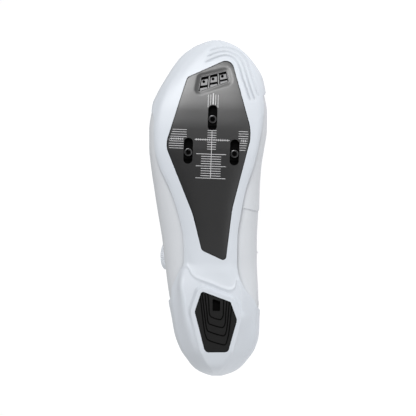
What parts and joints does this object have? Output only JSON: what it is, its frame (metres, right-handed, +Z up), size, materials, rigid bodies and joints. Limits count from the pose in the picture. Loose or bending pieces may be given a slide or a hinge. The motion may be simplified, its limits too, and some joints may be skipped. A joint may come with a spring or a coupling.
{
  "type": "road cycling shoe",
  "caption": "Right road cycling shoe lying on its inner side, with a cleat plate and threaded nuts in the sole, a heel pad, and a lace closed by a dial.",
  "frame": {"origin": "centre of the bounding box on the floor, with the shoe lying on its inner side", "axes": "+X from heel to toe, +Z up from the floor, -Y the way the sole faces"},
  "size_m": [0.2798, 0.1084, 0.0976],
  "materials": {
    "sole_shell": "smooth moulded white",
    "composite": "dark matte composite",
    "grille": "dark grey moulded",
    "pad_rubber": "black rubber with grooves",
    "nut_metal": "black oxide steel",
    "upper_leather": "white microfibre",
    "lining": "grey knitted lining",
    "dial_plastic": "satin white",
    "guide_plastic": "satin white",
    "cord": "coated braided cord"
  },
  "bodies": {
    "root": {"outsole": "sole_shell", "sole_plate": "composite", "vent_insert": "grille", "heel_pad": "pad_rubber", "cleat_nut_front": "nut_metal", "cleat_nut_outer": "nut_metal", "cleat_nut_inner": "nut_metal", "upper": "upper_leather", "insole": "lining", "tongue": "upper_leather", "dial_base": "dial_plastic", "dial_knob": "dial_plastic", "lace": "cord", "lace_guide_1": "guide_plastic", "lace_guide_2": "guide_plastic", "lace_guide_3": "guide_plastic", "lace_guide_4": "guide_plastic", "lace_guide_5": "guide_plastic", "lace_guide_6": "guide_plastic"}
  },
  "joints": []
}
